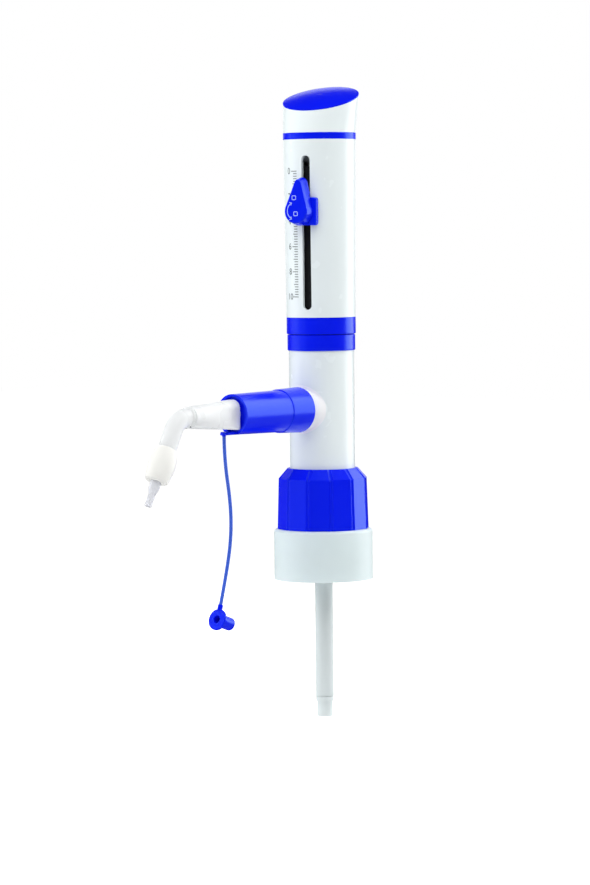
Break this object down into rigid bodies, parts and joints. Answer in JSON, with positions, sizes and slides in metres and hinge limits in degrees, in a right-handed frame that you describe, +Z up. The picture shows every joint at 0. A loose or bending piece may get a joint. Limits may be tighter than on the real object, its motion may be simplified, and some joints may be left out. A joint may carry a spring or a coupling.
{
  "type": "bottle-top dispenser",
  "caption": "Bottle-top liquid dispenser: a slotted sleeve lifts a plunger to a set volume and pushes the dose out of a swivelling side spout.",
  "frame": {"origin": "on the main axis, in the plane of the thread adapter's open mouth, where the bottle's neck enters", "axes": "+Z up along the plunger's axis; the spout leaves along -X; the sleeve's slot looks 16.6 degrees from the spout towards -Y"},
  "size_m": [0.1609, 0.051, 0.3251],
  "materials": {
    "blue_plastic": "smooth moulded, satin gloss",
    "white_plastic": "smooth moulded, satin gloss",
    "frosted_plastic": "natural translucent plastic, frosted",
    "tube_plastic": "natural translucent plastic",
    "nozzle_plastic": "translucent, lightly tinted",
    "connector_plastic": "warm white, matt",
    "spout_plastic": "milky white fluoroplastic",
    "black_plastic": "matt black",
    "tether_plastic": "flexible, satin",
    "seal_rubber": "matt",
    "fluoroplastic": "waxy white",
    "cylinder_glass": "clear, ground bore",
    "ceramic": "ground ceramic",
    "steel": "brushed"
  },
  "bodies": {
    "bottle_collar": {"thread_adapter": "frosted_plastic", "adapter_gasket": "fluoroplastic", "collar_nut": "blue_plastic"},
    "housing": {"housing_tube": "white_plastic", "housing_ring": "blue_plastic", "valve_block": "fluoroplastic", "intake_nipple": "fluoroplastic", "inlet_seat": "fluoroplastic", "intake_tube": "tube_plastic", "cylinder_seal": "seal_rubber", "glass_cylinder": "cylinder_glass", "cylinder_guard": "black_plastic", "guard_bush": "black_plastic", "outlet_stem": "fluoroplastic", "outlet_seat": "fluoroplastic", "outlet_spring": "steel", "outlet_collar": "blue_plastic", "outlet_hood": "blue_plastic", "outlet_duct": "spout_plastic", "outlet_fitting": "spout_plastic", "tether_cord": "tether_plastic", "stopper_cap": "blue_plastic"},
    "plunger_sleeve": {"sleeve": "white_plastic", "sleeve_ring": "blue_plastic", "band_ring": "blue_plastic", "head": "white_plastic", "head_cap": "blue_plastic", "plunger": "ceramic", "plunger_coupler": "white_plastic", "calibration_nut": "steel"},
    "volume_slider": {"slider_block": "blue_plastic", "clamp_shoe": "black_plastic", "clamp_stud": "steel"},
    "clamp_lever": {"clamp_lever": "blue_plastic"},
    "intake_extension": {"intake_extension": "tube_plastic"},
    "inlet_ball": {"inlet_ball": "ceramic"},
    "outlet_ball": {"outlet_ball": "ceramic"},
    "spout": {"spout_elbow": "spout_plastic", "spout_seal": "seal_rubber", "nozzle_holder": "connector_plastic", "nozzle_tip": "nozzle_plastic"}
  },
  "joints": [
    {"name": "collar_turn", "type": "hinge", "parent": "bottle_collar", "child": "housing", "pos_m": [0, 0, 0.046], "axis": [0, 0, 1], "continuous": true},
    {"name": "plunger_stroke", "type": "slide", "parent": "housing", "child": "plunger_sleeve", "axis": [0, 0, 1], "range_m": [0, 0.064]},
    {"name": "volume_setting", "type": "slide", "parent": "plunger_sleeve", "child": "volume_slider", "axis": [0, 0, 1], "range_m": [-0.0434, 0.0205]},
    {"name": "clamp_turn", "type": "hinge", "parent": "volume_slider", "child": "clamp_lever", "pos_m": [-0.01984, -0.00591, 0.1891], "axis": [-0.9583, -0.2857, 0], "range_deg": [0, 90]},
    {"name": "intake_reach", "type": "slide", "parent": "housing", "child": "intake_extension", "axis": [0, 0, -1], "range_m": [0, 0.06]},
    {"name": "inlet_lift", "type": "slide", "parent": "housing", "child": "inlet_ball", "axis": [0, 0, 1], "range_m": [0, 0.0012]},
    {"name": "outlet_lift", "type": "slide", "parent": "housing", "child": "outlet_ball", "axis": [-1, 0, 0], "range_m": [0, 0.0012], "stiffness_N_per_m": 40, "springref_m": -0.002, "deforming": ["outlet_spring"]},
    {"name": "spout_turn", "type": "hinge", "parent": "housing", "child": "spout", "pos_m": [-0.1034, 0, 0.088], "axis": [-1, 0, 0], "range_deg": [-90, 90]}
  ]
}
